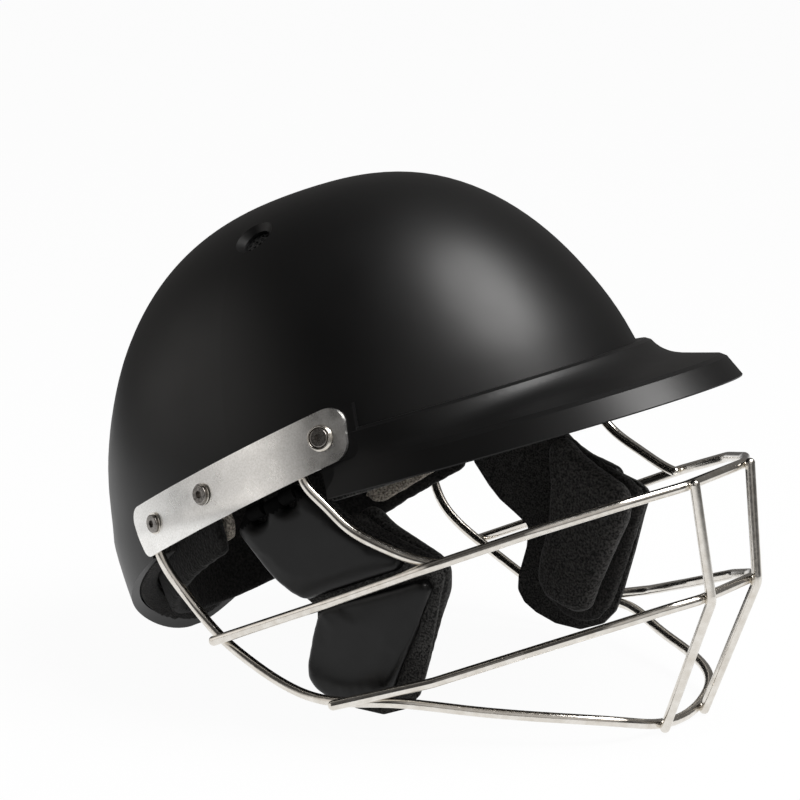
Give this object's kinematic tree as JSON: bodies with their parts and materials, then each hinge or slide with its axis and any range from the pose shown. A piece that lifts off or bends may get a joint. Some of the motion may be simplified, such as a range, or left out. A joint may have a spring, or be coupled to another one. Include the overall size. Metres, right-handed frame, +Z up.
{
  "type": "cricket helmet",
  "caption": "Batting helmet: hard shell with peak, padded inside, a steel wire face grille on side plates, and two sprung ear guards.",
  "frame": {"origin": "middle of the footprint under the resting helmet, on the floor", "axes": "+X towards the face, +Y to the wearer's left, +Z up; the helmet rests leaning back on the grille's feet and the neck edge"},
  "size_m": [0.3034, 0.2154, 0.2135],
  "materials": {
    "shell_black": "satin black moulded shell",
    "plate_metal": "satin blasted metal with a bright bevelled edge",
    "bright_steel": "polished steel",
    "dark_steel": "darkened steel",
    "rubber_black": "matt rubber",
    "mesh_black": "matt moulded plastic",
    "liner_foam": "rigid foam",
    "grey_felt": "speckled grey felt",
    "black_fabric": "black padded fabric",
    "beige_towelling": "brushed beige towelling",
    "guard_black": "smooth black padded skin",
    "guard_foam": "dark foam layer",
    "guard_cloth": "dark lining cloth"
  },
  "bodies": {
    "helmet": {"outer_shell": "shell_black", "peak": "shell_black", "side_plate_right": "plate_metal", "side_plate_left": "plate_metal", "rear_washers": "bright_steel", "rear_screws": "dark_steel", "cup_washers": "bright_steel", "front_screws": "dark_steel", "plate_nuts": "bright_steel", "plate_spacers": "rubber_black", "vent_screens": "mesh_black", "impact_liner": "liner_foam", "edge_felt": "grey_felt", "neck_pad": "black_fabric", "brow_foam": "black_fabric", "sweatband": "beige_towelling", "crown_pad": "black_fabric", "perimeter_wire": "bright_steel", "upper_bar": "bright_steel", "lower_bar": "bright_steel", "front_wire_right": "bright_steel", "front_wire_left": "bright_steel", "upright_right": "bright_steel", "upright_left": "bright_steel", "hanger_right": "mesh_black", "hanger_left": "mesh_black", "hanger_rivets": "bright_steel", "hinge_pins": "bright_steel"},
    "guard_right": {"guard_upper_right": "guard_black", "guard_lower_right": "guard_black", "guard_backing_right": "grey_felt", "guard_core_right": "guard_foam", "guard_pad_right": "guard_cloth"},
    "guard_left": {"guard_upper_left": "guard_black", "guard_lower_left": "guard_black", "guard_backing_left": "grey_felt", "guard_core_left": "guard_foam", "guard_pad_left": "guard_cloth"}
  },
  "joints": [
    {"name": "guard_right_hinge", "type": "hinge", "parent": "helmet", "child": "guard_right", "pos_m": [-0.01905, -0.0845, 0.0897], "axis": [0.8735, 0, 0.4867], "range_deg": [-1, 12], "stiffness_Nm_per_rad": 0.6},
    {"name": "guard_left_hinge", "type": "hinge", "parent": "helmet", "child": "guard_left", "pos_m": [-0.01905, 0.0845, 0.0897], "axis": [-0.8735, 0, -0.4867], "range_deg": [-1, 12], "stiffness_Nm_per_rad": 0.6}
  ]
}
